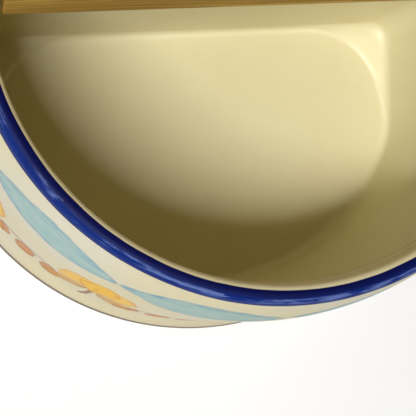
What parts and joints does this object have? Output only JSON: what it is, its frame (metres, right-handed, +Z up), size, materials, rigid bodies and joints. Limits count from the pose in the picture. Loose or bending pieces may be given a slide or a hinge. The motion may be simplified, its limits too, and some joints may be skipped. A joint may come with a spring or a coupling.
{
  "type": "salt box",
  "caption": "Hanging salt box: glazed crock with a flat back, rounded front and arched back plate, and a thick wooden lid hinged on dowel pins between two cheeks.",
  "frame": {"origin": "middle of the base, on the surface that the box stands on", "axes": "+Z up, +Y towards the flat back that goes against a wall, +X to the right seen from the front"},
  "size_m": [0.163, 0.1, 0.1944],
  "materials": {
    "glaze": "glossy cream glaze with a hand-brushed cobalt blue rim",
    "lid_wood": "oiled, satin",
    "pin_wood": "bare, satin"
  },
  "bodies": {
    "crock": {"crock": "glaze"},
    "lid": {"lid": "lid_wood", "hinge_pin_left": "pin_wood", "hinge_pin_right": "pin_wood"}
  },
  "joints": [
    {"name": "lid_hinge", "type": "hinge", "parent": "crock", "child": "lid", "pos_m": [0, 0.0345, 0.1134], "axis": [1, 0, 0], "range_deg": [0, 93.99]}
  ]
}
